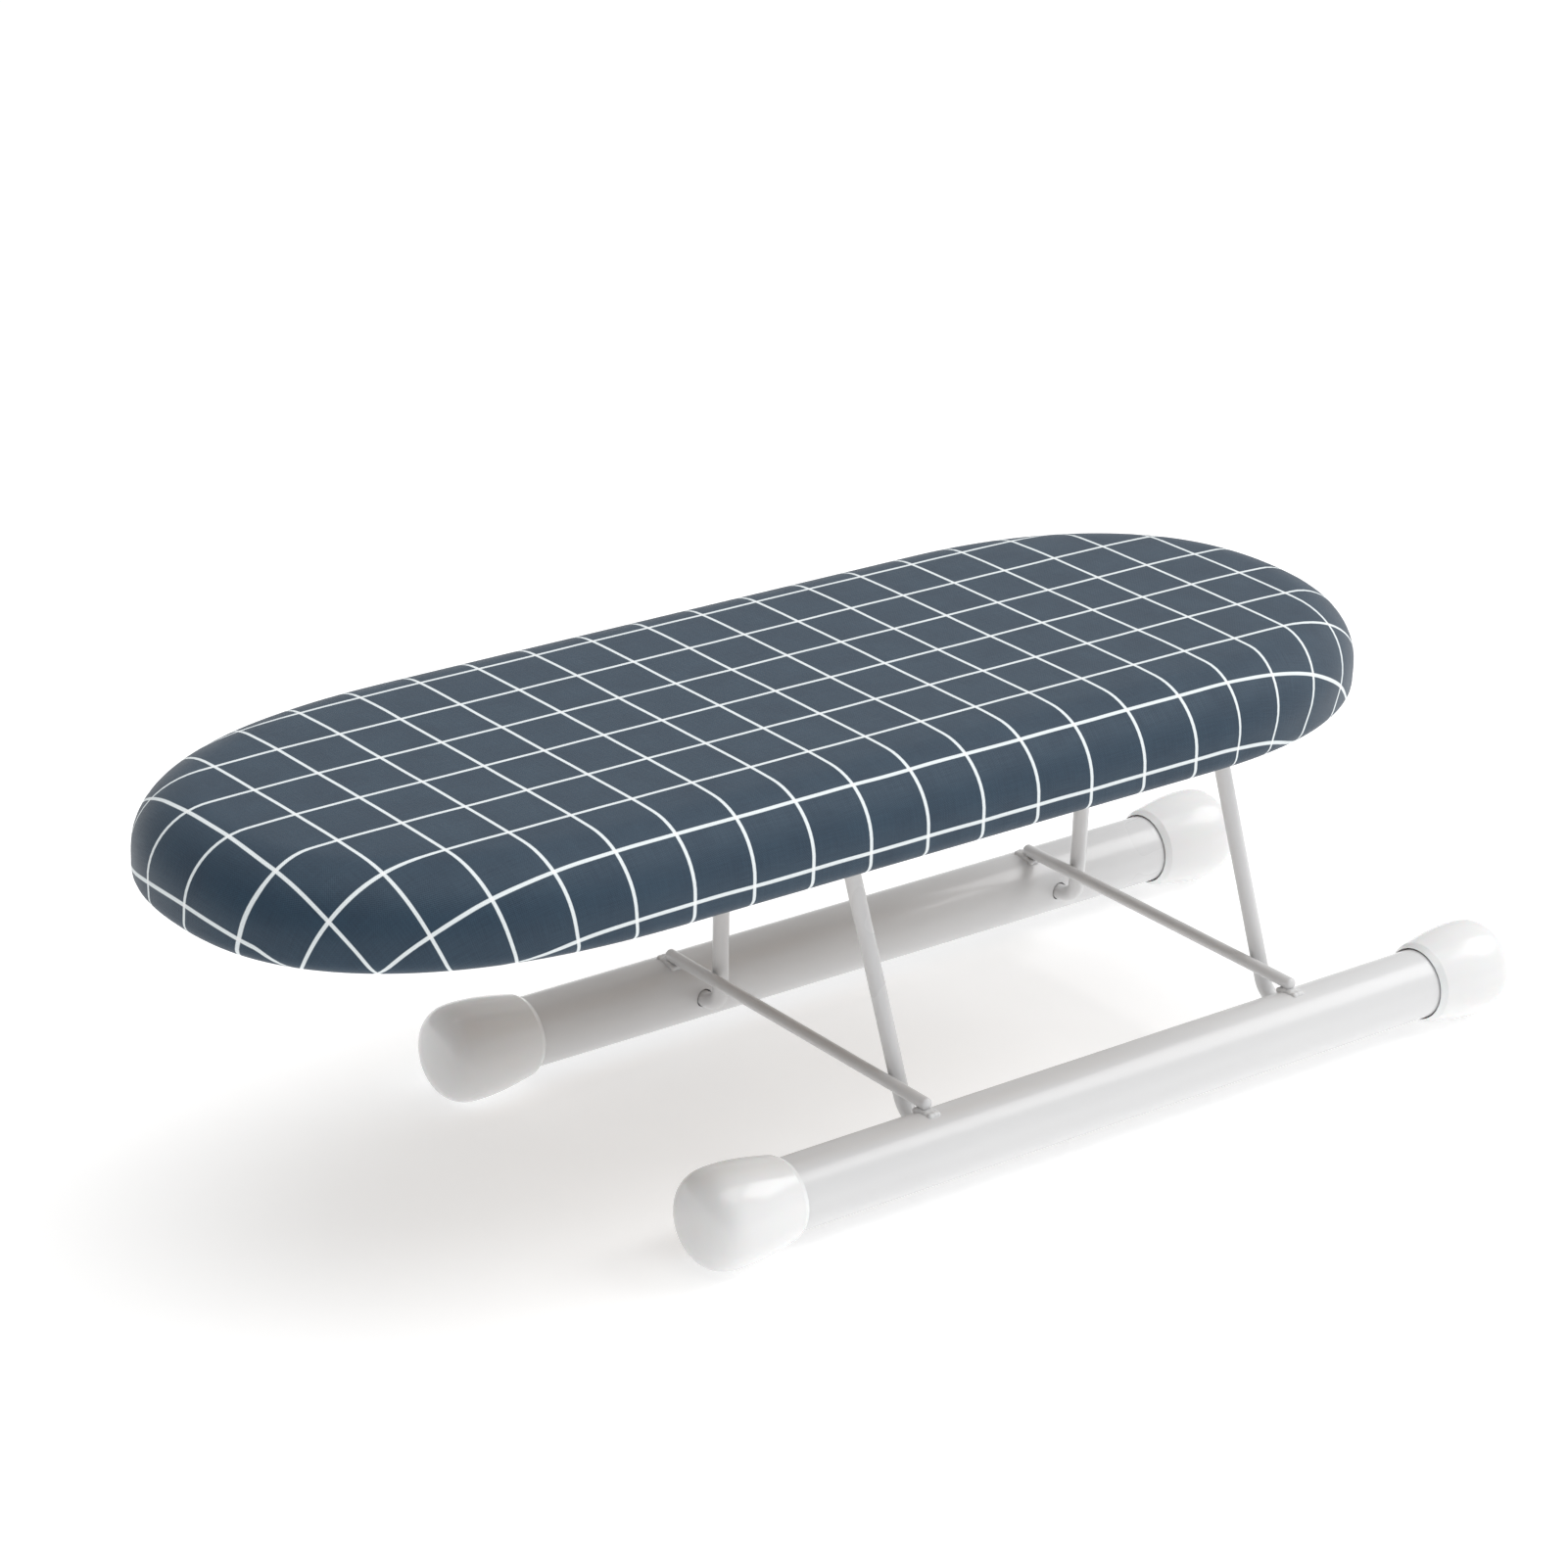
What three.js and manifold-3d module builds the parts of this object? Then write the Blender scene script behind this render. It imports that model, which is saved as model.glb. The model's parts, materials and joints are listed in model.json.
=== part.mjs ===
// Tabletop ironing board: a padded, cloth-covered board on two folding wire legs over a two-tube base.
// Millimetres. +X runs along the board towards the end that the base sticks out at, +Z is up.
// The origin is under the middle of the whole object, on the surface that it stands on.
import * as THREE from 'three';
import { mergeVertices } from 'three/addons/utils/BufferGeometryUtils.js';
import Module from 'manifold-3d';

const wasm = await Module();
wasm.setup();

// Driving dimensions.
const gap = 0.3;                    // clearance kept between two pieces that touch

const boardLength = 483;
const boardWidth = 179;
const boardThickness = 31.8;        // cover, pad and panel together
const boardTop = 167.4;             // height of the ironing surface
const leftEndLength = 136;          // how far each rounded end reaches in from the tip
const leftEndPower = 2.36;          // 2 is an ellipse, and more is squarer
const rightEndLength = 121;
const rightEndPower = 2.23;
const topRoll = { across: 23, down: 21 };       // the soft rounding of the upper edge
const bottomRoll = { across: 5.6, down: 5.2 };  // the tighter rounding of the lower edge
const coverThickness = 0.8;
const hemInset = 28;                // how far the cover reaches in under the board
const elastic = { width: 6, thickness: 1.2 };
const panelInset = 6.5;
const panelThickness = 12;

const tubeDiameter = 26;
const tubeWall = 1.2;
const tubeSpacing = 150.4;          // axis to axis, across the board
const tubeShown = 299.6;            // length between the two caps' mouths
const tubeAxisHeight = 18;
const baseOffset = 98.3;            // from the board's middle to the base's middle
const capSocket = 26;               // how far the tube goes into a cap
const capLength = 39;
const capLip = { length: 2.6, radius: 15 };
const capBulge = { at: 25, radius: tubeAxisHeight };
const capMouthRadius = 13.9;
const capEndPower = 2.6;

const rodDiameter = 4.6;
const rodLength = 148;
const rodSpacing = 172.7;
const legDiameter = 6;
const legLean = THREE.MathUtils.degToRad(9.92);  // the tops of the legs lean this much towards -X
const legTopHalfWidth = 31.7;       // half the crossbar, corner to corner
const legFootHalfWidth = 53;
const legTopBend = 8;
const legFootBend = 10;
const pinReach = 9;                 // how far a leg's turned-out end goes into its tube
const pinHoleDiameter = 6.9;

const clip = { width: 10, thickness: 1.2, ear: 9, centre: 17 };
const screw = { shank: 3, length: 10, head: 6.4, headHeight: 2.1, tip: 2.4, hole: 3.7 };
const screwRecess = { length: 3.4, width: 0.8, depth: 1.1 };

// Heights and places that follow from them.
const tubeRadius = tubeDiameter / 2;
const rodRadius = rodDiameter / 2;
const legRadius = legDiameter / 2;
const baseReach = tubeShown / 2 + capLength;
const boardCentre = -(baseOffset + baseReach - boardLength / 2) / 2;
const boardLeft = boardCentre - boardLength / 2;
const boardRight = boardCentre + boardLength / 2;
const baseCentre = boardCentre + baseOffset;
const panelBottom = boardTop - boardThickness + coverThickness + gap;
const crossbarHeight = panelBottom - gap - legRadius;
const rodHeight = tubeAxisHeight + tubeRadius + gap + rodRadius;
const legLength = (crossbarHeight - tubeAxisHeight) / Math.cos(legLean);
// Each leg rests against the +X side of its cross rod, which holds it from leaning further.
const pinOffset = (legRadius + rodRadius + gap) / Math.cos(legLean)
  + (rodHeight - tubeAxisHeight) * Math.tan(legLean);

const sides = {
  left: { rodX: baseCentre - rodSpacing / 2 },
  right: { rodX: baseCentre + rodSpacing / 2 },
};
for (const side of Object.values(sides)) {
  side.pinX = side.rodX + pinOffset;
  side.crossbarX = side.pinX - legLength * Math.sin(legLean);
}
const ends = { front: -1, rear: 1 };

const materials = {
  cotton: new THREE.MeshStandardMaterial({ color: 0x3c5068, roughness: 0.85, metalness: 0 }),
  foam: new THREE.MeshStandardMaterial({ color: 0xe9e4d2, roughness: 0.95, metalness: 0 }),
  elastic: new THREE.MeshStandardMaterial({ color: 0xf1f1ee, roughness: 0.8, metalness: 0 }),
  fibreboard: new THREE.MeshStandardMaterial({ color: 0xb08a5c, roughness: 0.8, metalness: 0 }),
  whiteSteel: new THREE.MeshStandardMaterial({ color: 0xf2f2f2, roughness: 0.3, metalness: 0.1 }),
  whitePlastic: new THREE.MeshStandardMaterial({ color: 0xf7f7f6, roughness: 0.25, metalness: 0 }),
  zincSteel: new THREE.MeshStandardMaterial({ color: 0xbfc3c7, roughness: 0.35, metalness: 0.9 }),
};

const group = new THREE.Group();

function place(name, geometry, material, parent = group) {
  const mesh = new THREE.Mesh(geometry, material);
  mesh.name = name;
  parent.add(mesh);
  return mesh;
}

// Booleans.
function toSolid(geometry) {
  const bare = geometry.clone();
  bare.deleteAttribute('normal');
  bare.deleteAttribute('uv');
  const merged = mergeVertices(bare, 1e-4);
  return new wasm.Manifold(new wasm.Mesh({
    numProp: 3,
    vertProperties: new Float32Array(merged.attributes.position.array),
    triVerts: new Uint32Array(merged.index.array),
  }));
}

function toGeometry(solid) {
  const mesh = solid.getMesh();
  const geometry = new THREE.BufferGeometry();
  geometry.setAttribute('position', new THREE.BufferAttribute(new Float32Array(mesh.vertProperties), 3));
  geometry.setIndex(Array.from(mesh.triVerts));
  return geometry;
}

function cut(geometry, tools) {
  let solid = toSolid(geometry);
  for (const tool of tools) {
    solid = solid.subtract(toSolid(tool));
  }
  return toGeometry(solid);
}

// The board's outline: two superelliptic ends joined by straight sides, with its outward normals.
const endSteps = 20;
function boardOutline() {
  const points = [];
  const tips = [
    { centre: boardRight - rightEndLength, reach: rightEndLength, power: rightEndPower, sign: 1 },
    { centre: boardLeft + leftEndLength, reach: leftEndLength, power: leftEndPower, sign: -1 },
  ];
  for (const tip of tips) {
    for (let k = 0; k <= endSteps; k += 1) {
      const angle = -Math.PI / 2 + (Math.PI * k) / endSteps;
      const c = Math.max(Math.cos(angle), 0);
      const s = Math.abs(Math.sin(angle));
      const half = boardWidth / 2;
      const along = c ** (2 / tip.power);
      const across = Math.sign(angle) * s ** (2 / tip.power);
      const slope = 2 - 2 / tip.power;
      const normal = new THREE.Vector2(c ** slope / tip.reach, (Math.sign(angle) * s ** slope) / half);
      normal.normalize().multiplyScalar(tip.sign);
      const place2d = new THREE.Vector2(tip.centre + tip.sign * tip.reach * along, tip.sign * half * across);
      points.push({ place: place2d, normal });
    }
  }
  return points;
}
const outline = boardOutline();

// A solid from rings that follow the outline: each step is an inset and a depth below the ironing surface.
function ringSolid(steps) {
  const count = outline.length;
  const positions = [boardCentre, 0, boardTop - steps[0].depth];
  for (const step of steps) {
    for (const { place: p, normal } of outline) {
      positions.push(p.x - normal.x * step.inset, p.y - normal.y * step.inset, boardTop - step.depth);
    }
  }
  positions.push(boardCentre, 0, boardTop - steps[steps.length - 1].depth);
  const last = positions.length / 3 - 1;
  const index = [];
  for (let k = 0; k < count; k += 1) {
    const next = (k + 1) % count;
    index.push(0, 1 + k, 1 + next);
    for (let ring = 0; ring + 1 < steps.length; ring += 1) {
      const a = 1 + ring * count;
      const b = a + count;
      index.push(a + k, b + k, b + next, a + k, b + next, a + next);
    }
    const end = 1 + (steps.length - 1) * count;
    index.push(last, end + next, end + k);
  }
  const geometry = new THREE.BufferGeometry();
  geometry.setAttribute('position', new THREE.Float32BufferAttribute(positions, 3));
  geometry.setIndex(index);
  return geometry;
}

// The outer section of the board from its top to its underside, moved inwards by an offset.
function edgeSection(offset) {
  const steps = [];
  const rollSteps = 5;
  for (let k = 0; k <= rollSteps; k += 1) {
    const angle = (Math.PI / 2) * (k / rollSteps);
    steps.push({
      inset: topRoll.across - (topRoll.across - offset) * Math.sin(angle),
      depth: topRoll.down - (topRoll.down - offset) * Math.cos(angle),
    });
  }
  const lowSteps = 3;
  for (let k = 0; k <= lowSteps; k += 1) {
    const angle = (Math.PI / 2) * (k / lowSteps);
    steps.push({
      inset: bottomRoll.across - (bottomRoll.across - offset) * Math.cos(angle),
      depth: boardThickness - bottomRoll.down + (bottomRoll.down - offset) * Math.sin(angle),
    });
  }
  return steps;
}

function coverGeometry() {
  const outside = edgeSection(0);
  const inside = edgeSection(coverThickness).reverse();
  const hemEdge = [
    { inset: hemInset, depth: boardThickness },
    { inset: hemInset, depth: boardThickness - coverThickness },
  ];
  return ringSolid([...outside, ...hemEdge, ...inside]);
}

function foamGeometry() {
  const panelTop = boardThickness - coverThickness - gap - panelThickness;
  return ringSolid([
    ...edgeSection(coverThickness + gap),
    { inset: panelInset - gap, depth: boardThickness - coverThickness - gap },
    { inset: panelInset - gap, depth: panelTop - gap },
  ]);
}

function elasticGeometry() {
  const top = boardThickness - coverThickness;
  const inner = hemInset + gap + elastic.width;
  const ring = (inset, depth) => outline.map(({ place: p, normal }) => (
    new THREE.Vector3(p.x - normal.x * inset, p.y - normal.y * inset, boardTop - depth)));
  const rings = [
    ring(hemInset + gap, top),
    ring(hemInset + gap, top + elastic.thickness),
    ring(inner, top + elastic.thickness),
    ring(inner, top),
  ];
  const count = outline.length;
  const positions = rings.flat().flatMap((p) => [p.x, p.y, p.z]);
  const index = [];
  for (let r = 0; r < rings.length; r += 1) {
    const a = r * count;
    const b = ((r + 1) % rings.length) * count;
    for (let k = 0; k < count; k += 1) {
      const next = (k + 1) % count;
      index.push(a + k, b + k, b + next, a + k, b + next, a + next);
    }
  }
  const geometry = new THREE.BufferGeometry();
  geometry.setAttribute('position', new THREE.Float32BufferAttribute(positions, 3));
  geometry.setIndex(index);
  return geometry;
}

// Screw and clip places, shared by the clips, the screws and the holes in the panel.
const earCentre = legRadius + gap + clip.thickness + clip.ear / 2;
const hingeClips = [];
for (const [sideName, side] of Object.entries(sides)) {
  for (const [endName, end] of Object.entries(ends)) {
    hingeClips.push({
      name: `${sideName}_${endName}_hinge_clip`,
      x: side.crossbarX,
      y: end * clip.centre,
      screws: [-1, 1].map((way) => ({ way, x: side.crossbarX + way * earCentre })),
    });
  }
}

function upright(radius, bottom, top, x, y, segments = 12) {
  const geometry = new THREE.CylinderGeometry(radius, radius, top - bottom, segments);
  geometry.rotateX(Math.PI / 2);
  geometry.translate(x, y, (top + bottom) / 2);
  return geometry;
}

function panelGeometry() {
  const depth = boardTop - panelBottom;
  const slab = ringSolid([
    { inset: panelInset, depth: depth - panelThickness },
    { inset: panelInset, depth },
  ]);
  const holeTop = panelBottom + screw.length - clip.thickness;
  const holes = hingeClips.flatMap((c) => c.screws.map((s) => (
    upright(screw.hole / 2, panelBottom - 1, holeTop, s.x, c.y, 10))));
  return cut(slab, holes);
}

// A strap bent over the crossbar, with an ear on each side for a screw.
function clipGeometry(c) {
  const inner = legRadius + gap;
  const outer = inner + clip.thickness;
  const reach = outer + clip.ear;
  const shape = new THREE.Shape();
  shape.moveTo(-reach, -clip.thickness);
  shape.lineTo(-outer, -clip.thickness);
  shape.lineTo(-outer, -inner);
  shape.absarc(0, -inner, outer, Math.PI, 2 * Math.PI, false);
  shape.lineTo(outer, -clip.thickness);
  shape.lineTo(reach, -clip.thickness);
  shape.lineTo(reach, 0);
  shape.lineTo(inner, 0);
  shape.lineTo(inner, -inner);
  shape.absarc(0, -inner, inner, 2 * Math.PI, Math.PI, true);
  shape.lineTo(-inner, 0);
  shape.lineTo(-reach, 0);
  const strap = new THREE.ExtrudeGeometry(shape, { depth: clip.width, bevelEnabled: false, curveSegments: 5 });
  strap.rotateX(Math.PI / 2);
  strap.translate(c.x, c.y + clip.width / 2, panelBottom - gap);
  const low = panelBottom - gap - clip.thickness - 1;
  const holes = c.screws.map((s) => upright(screw.hole / 2, low, panelBottom, s.x, c.y, 10));
  return cut(strap, holes);
}

// A pan-head wood screw that points up, with a cross recess in its head.
function screwGeometry(x, y) {
  const seat = panelBottom - gap - clip.thickness - gap;
  const shank = screw.shank / 2;
  const head = screw.head / 2;
  const point = screw.length - gap * 2;
  const profile = [
    [0, -screw.headHeight],
    [head * 0.6, -screw.headHeight],
    [head * 0.9, -screw.headHeight * 0.7],
    [head, -screw.headHeight * 0.25],
    [head, 0],
    [shank, 0],
    [shank, point - screw.tip],
    [0, point],
  ].map(([r, h]) => new THREE.Vector2(r, h));
  const body = new THREE.LatheGeometry(profile, 12);
  body.rotateX(Math.PI / 2);
  const slots = [0, Math.PI / 2].map((turn) => {
    const slot = new THREE.BoxGeometry(screwRecess.length, screwRecess.width, screwRecess.depth * 2);
    slot.rotateZ(turn);
    slot.translate(0, 0, -screw.headHeight);
    return slot;
  });
  const geometry = cut(body, slots);
  geometry.translate(x, y, seat);
  return geometry;
}

// Wire legs: a path of straight runs with round bends, in the plane that the leg leans in.
class Bend extends THREE.Curve {
  constructor(centre, from, towards, radius, turn) {
    super();
    Object.assign(this, { centre, from, towards, radius, turn });
  }

  getPoint(t, target = new THREE.Vector3()) {
    const angle = this.turn * t;
    return target.copy(this.centre)
      .addScaledVector(this.from, this.radius * Math.cos(angle))
      .addScaledVector(this.towards, this.radius * Math.sin(angle));
  }
}

function bentPath(corners) {
  const path = new THREE.CurvePath();
  let start = corners[0].at;
  for (let k = 1; k + 1 < corners.length; k += 1) {
    const { at, bend } = corners[k];
    const into = at.clone().sub(corners[k - 1].at).normalize();
    const out = corners[k + 1].at.clone().sub(at).normalize();
    const turn = into.angleTo(out);
    const setback = bend * Math.tan(turn / 2);
    const first = at.clone().addScaledVector(into, -setback);
    const side = out.clone().addScaledVector(into, -out.dot(into)).normalize();
    const centre = first.clone().addScaledVector(side, bend);
    path.add(new THREE.LineCurve3(start, first));
    path.add(new Bend(centre, side.clone().negate(), into, bend, turn));
    start = at.clone().addScaledVector(out, setback);
  }
  path.add(new THREE.LineCurve3(start, corners[corners.length - 1].at));
  return path;
}

const wireSteps = 64;
const wireHalfSides = 5;
function legGeometry() {
  const pinEnd = tubeSpacing / 2 - tubeRadius + tubeWall + pinReach;
  const corner = (y, z, bend) => ({ at: new THREE.Vector3(0, y, z), bend });
  const path = bentPath([
    corner(-pinEnd, 0),
    corner(-legFootHalfWidth, 0, legFootBend),
    corner(-legTopHalfWidth, legLength, legTopBend),
    corner(legTopHalfWidth, legLength, legTopBend),
    corner(legFootHalfWidth, 0, legFootBend),
    corner(pinEnd, 0),
  ]);
  const section = new THREE.Shape().absarc(0, 0, legRadius, 0, 2 * Math.PI, false);
  return new THREE.ExtrudeGeometry(section, {
    steps: wireSteps, extrudePath: path, curveSegments: wireHalfSides, bevelEnabled: false,
  });
}

function addLegs() {
  for (const [name, side] of Object.entries(sides)) {
    const frame = new THREE.Group();
    frame.position.set(side.pinX, 0, tubeAxisHeight);
    frame.rotation.y = -legLean;
    place(`${name}_leg_wire`, legGeometry(), materials.whiteSteel, frame);
    group.add(frame);
  }
}

// Base: two tubes with the legs' pin holes, two rods across them, and a cap on each tube end.
const tubeHalfSegments = 18;          // an arc is drawn with twice this many sides
function tubeGeometry(end) {
  const ring = new THREE.Shape().absarc(0, 0, tubeRadius, 0, 2 * Math.PI, false);
  ring.holes.push(new THREE.Path().absarc(0, 0, tubeRadius - tubeWall, 0, 2 * Math.PI, true));
  const length = tubeShown + 2 * (capSocket - gap);
  const tube = new THREE.ExtrudeGeometry(ring, {
    depth: length, steps: 1, bevelEnabled: false, curveSegments: tubeHalfSegments,
  });
  tube.rotateY(Math.PI / 2);
  tube.translate(-length / 2, 0, 0);
  const holes = Object.values(sides).map((side) => {
    const hole = new THREE.CylinderGeometry(pinHoleDiameter / 2, pinHoleDiameter / 2, tubeRadius, 16);
    hole.translate(side.pinX - baseCentre, -end * tubeRadius, 0);
    return hole;
  });
  return cut(tube, holes);
}

function rodGeometry() {
  const rod = new THREE.CylinderGeometry(rodRadius, rodRadius, rodLength, 16);
  return rod;
}

// A hollow plastic cap that opens towards +X: a short lip, a slow flare and a blunt domed end.
function capGeometry() {
  const profile = [[0, capLength]];
  const domeSteps = 8;
  for (let k = 1; k <= domeSteps; k += 1) {
    const angle = (Math.PI / 2) * (1 - k / domeSteps);
    const reach = capLength - capBulge.at;
    profile.push([
      capBulge.radius * Math.cos(angle) ** (2 / capEndPower),
      capBulge.at + reach * Math.sin(angle) ** (2 / capEndPower),
    ]);
  }
  const flareSteps = 4;
  for (let k = 1; k <= flareSteps; k += 1) {
    const t = k / flareSteps;
    const ease = Math.cos((t * Math.PI) / 2);
    profile.push([
      capLip.radius + (capBulge.radius - capLip.radius) * ease,
      capBulge.at + (capLip.length - capBulge.at) * t,
    ]);
  }
  profile.push([capMouthRadius, 0]);
  profile.push([tubeRadius + gap, 0]);
  profile.push([tubeRadius + gap, capSocket]);
  profile.push([0, capSocket]);
  const cap = new THREE.LatheGeometry(profile.reverse().map(([r, h]) => new THREE.Vector2(r, h)), 28);
  cap.rotateZ(Math.PI / 2);
  return cap;
}

function addBase() {
  for (const [endName, end] of Object.entries(ends)) {
    const tube = place(`${endName}_foot_tube`, tubeGeometry(end), materials.whiteSteel);
    tube.position.set(baseCentre, (end * tubeSpacing) / 2, tubeAxisHeight);
    for (const [sideName, way] of [['left', -1], ['right', 1]]) {
      const cap = place(`${sideName}_${endName}_end_cap`, capGeometry(), materials.whitePlastic);
      cap.position.set(baseCentre + (way * tubeShown) / 2, (end * tubeSpacing) / 2, tubeAxisHeight);
      cap.rotation.z = way > 0 ? Math.PI : 0;
    }
  }
  for (const [name, side] of Object.entries(sides)) {
    const rod = place(`${name}_cross_rod`, rodGeometry(), materials.whiteSteel);
    rod.position.set(side.rodX, 0, rodHeight);
  }
}

function addBoard() {
  place('board_panel', panelGeometry(), materials.fibreboard);
  place('foam_pad', foamGeometry(), materials.foam);
  place('fabric_cover', coverGeometry(), materials.cotton);
  place('elastic_edging', elasticGeometry(), materials.elastic);
  for (const c of hingeClips) {
    place(c.name, clipGeometry(c), materials.zincSteel);
    for (const s of c.screws) {
      const sideName = s.way < 0 ? 'inner' : 'outer';
      place(`${c.name}_${sideName}_screw`, screwGeometry(s.x, c.y), materials.zincSteel);
    }
  }
}

addBase();
addLegs();
addBoard();

export default group;
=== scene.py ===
"""Looks of a tabletop ironing board: a check cotton cover over a foam pad and a fibreboard panel,
on two folding wire legs and a two-tube base. Everything is in metres, in the row frame."""

import json
import math

import bmesh
import bpy
import numpy as np
from mathutils import Matrix, Vector, kdtree


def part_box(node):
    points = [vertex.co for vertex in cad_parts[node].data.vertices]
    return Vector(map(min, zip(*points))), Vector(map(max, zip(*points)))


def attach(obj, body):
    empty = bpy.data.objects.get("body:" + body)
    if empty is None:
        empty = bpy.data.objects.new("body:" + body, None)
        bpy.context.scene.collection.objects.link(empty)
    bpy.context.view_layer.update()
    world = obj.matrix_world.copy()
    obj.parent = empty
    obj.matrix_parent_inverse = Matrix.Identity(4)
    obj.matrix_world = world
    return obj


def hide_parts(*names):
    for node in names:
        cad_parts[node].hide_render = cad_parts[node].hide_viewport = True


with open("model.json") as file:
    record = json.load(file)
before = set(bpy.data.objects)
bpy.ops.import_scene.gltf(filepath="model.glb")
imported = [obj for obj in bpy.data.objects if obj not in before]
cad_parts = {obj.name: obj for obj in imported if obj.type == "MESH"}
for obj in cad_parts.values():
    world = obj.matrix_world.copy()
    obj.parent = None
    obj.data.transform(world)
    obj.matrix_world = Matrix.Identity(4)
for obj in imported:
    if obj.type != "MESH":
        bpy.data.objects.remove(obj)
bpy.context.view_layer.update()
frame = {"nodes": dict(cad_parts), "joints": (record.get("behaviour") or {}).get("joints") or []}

MM = 0.001
GAP = 0.3 * MM
SEED = 11

scene = bpy.context.scene


# ---------------------------------------------------------------- places that the frame gives
def middle(node):
    """The middle of a CAD node's box."""
    low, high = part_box(node)
    return (low + high) / 2


cover_low, cover_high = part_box("fabric_cover")
BOARD_LEFT, BOARD_RIGHT = cover_low.x, cover_high.x
BOARD_TOP, BOARD_BOTTOM = cover_high.z, cover_low.z
BOARD_HALF = cover_high.y
THICKNESS = BOARD_TOP - BOARD_BOTTOM
PANEL_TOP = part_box("board_panel")[1].z
pins = {joint["name"]: Vector(joint["pos_m"]) for joint in frame["joints"]}
SIDES = {"left": pins["left_leg_fold"], "right": pins["right_leg_fold"]}
ENDS = {"front": -1, "rear": 1}

# The board's outline and section, as in the CAD source. An end of power 2 is an ellipse, and a
# higher power is squarer.
LEFT_END = {"reach": 136 * MM, "power": 2.36}
RIGHT_END = {"reach": 121 * MM, "power": 2.23}
TOP_ROLL = (23 * MM, 21 * MM)      # the rolled top edge: how far in it starts, how far down it ends
LOW_ROLL = (5.6 * MM, 5.2 * MM)    # the rolled lower edge, in the same way
COVER = 0.8 * MM                   # thickness of the cloth
HEM = 28 * MM                      # how far the cover reaches in under the board
PANEL_INSET = 6.5 * MM
ELASTIC = (6 * MM, 1.2 * MM)       # width and thickness

CHECK = 24 * MM                                          # from line to line
CHECK_X = 0.5 * (BOARD_LEFT + BOARD_RIGHT) + 15.5 * MM   # one of the lines across the board
CHECK_Y = -7.1 * MM                                      # one of the lines along it
CHECK_LINE = 1.3 * MM                                    # width of a line

TUBE_RADIUS = 13 * MM
TUBE_WALL = 1.2 * MM
PIN_HOLE_RADIUS = 3.45 * MM
LEG_RADIUS = 3 * MM
LEG_LEAN = math.radians(9.92)
LEG_HEAD_HALF, LEG_HEAD_BEND = 31.7 * MM, 8 * MM         # half the crossbar, and its bends' radius
LEG_FOOT_HALF, LEG_FOOT_BEND = 53 * MM, 10 * MM          # the same at the turned-out ends
CLIP_METAL = 1.2 * MM
CLIP_EAR = 9 * MM


# ---------------------------------------------------------------- materials
class Graph:
    """A material's node tree, with short ways to add what the materials here need."""

    def __init__(self, name, **settings):
        self.material = bpy.data.materials.new(name)
        self.material.use_nodes = True
        self.tree = self.material.node_tree
        self.tree.nodes.clear()
        self.shader = self.add("ShaderNodeBsdfPrincipled", settings)
        self.output = self.add("ShaderNodeOutputMaterial")
        self.put(self.output.inputs["Surface"], self.shader.outputs["BSDF"])

    def add(self, kind, inputs=None, **properties):
        node = self.tree.nodes.new(kind)
        for key, value in properties.items():
            setattr(node, key, value)
        for key, value in (inputs or {}).items():
            self.put(node.inputs[key], value)
        return node

    def put(self, socket, value):
        if isinstance(value, bpy.types.NodeSocket):
            self.tree.links.new(value, socket)
        else:
            socket.default_value = value

    def set(self, name, value):
        self.put(self.shader.inputs[name], value)

    def math(self, operation, *values):
        node = self.add("ShaderNodeMath", operation=operation)
        for socket, value in zip(node.inputs, values):
            self.put(socket, value)
        return node.outputs[0]

    def remap(self, value, low, high, to_low, to_high, kind="LINEAR"):
        node = self.add("ShaderNodeMapRange", interpolation_type=kind)
        ranges = {"From Min": low, "From Max": high, "To Min": to_low, "To Max": to_high}
        for key, number in ranges.items():
            node.inputs[key].default_value = number
        self.put(node.inputs["Value"], value)
        return node.outputs["Result"]

    def mix(self, factor, a, b):
        """A colour between a and b. The node's colour sockets can only be told apart by number."""
        node = self.add("ShaderNodeMix", data_type="RGBA")
        for index, value in ((0, factor), (6, a), (7, b)):
            self.put(node.inputs[index], value)
        return node.outputs[2]

    def scaled(self, vector, scale):
        node = self.add("ShaderNodeMapping", {"Vector": vector, "Scale": scale})
        return node.outputs["Vector"]

    def noise(self, vector, scale, detail=2.0, roughness=0.5):
        node = self.add("ShaderNodeTexNoise", {
            "Vector": vector, "Scale": scale, "Detail": detail, "Roughness": roughness})
        return node.outputs["Fac"]

    def bump(self, height, distance, strength=1.0):
        inputs = {"Height": height, "Distance": distance, "Strength": strength}
        return self.add("ShaderNodeBump", inputs).outputs["Normal"]

    def place(self):
        return self.add("ShaderNodeTexCoord").outputs["Object"]


def rgb(red, green, blue):
    """A display colour, 0 to 255, as the linear one that a shader takes."""
    def linear(value):
        value /= 255
        return value / 12.92 if value <= 0.04045 else ((value + 0.055) / 1.055) ** 2.4
    return (linear(red), linear(green), linear(blue), 1.0)


THREAD = 0.42 * MM        # from one thread of the plain weave to the next
LINE_WANDER = 0.9 * MM    # how far a line of the check strays, from side to side
LINE_BLUR = 0.16 * MM     # how softly a line ends, to either side of its edge


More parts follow.
